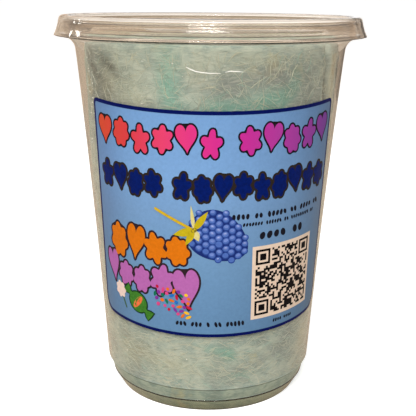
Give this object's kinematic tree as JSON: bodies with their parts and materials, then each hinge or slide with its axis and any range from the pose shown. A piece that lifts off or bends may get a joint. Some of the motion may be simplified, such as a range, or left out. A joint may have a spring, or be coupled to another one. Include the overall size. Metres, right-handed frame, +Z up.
{
  "type": "tub of cotton candy",
  "caption": "Clear tapered plastic tub with a shut snap lid and a wrapped label, packed full of pale blue-green spun sugar.",
  "frame": {"origin": "centre of the ring that the tub stands on, at floor level", "axes": "+Z up along the tub's axis, -Y towards the middle of the label (which is turned 3 degrees to +X)"},
  "size_m": [0.1166, 0.1166, 0.1444],
  "materials": {
    "tub": "clear thermoformed PET, glossy, slightly warm",
    "lid": "clear thermoformed PET, glossy",
    "cotton_candy": null,
    "label": "semi-gloss paper label, light blue with a navy border and printed colour shapes"
  },
  "bodies": {
    "root": {"tub": "tub", "lid": "lid", "cotton_candy": "cotton_candy", "label": "label"}
  },
  "joints": []
}
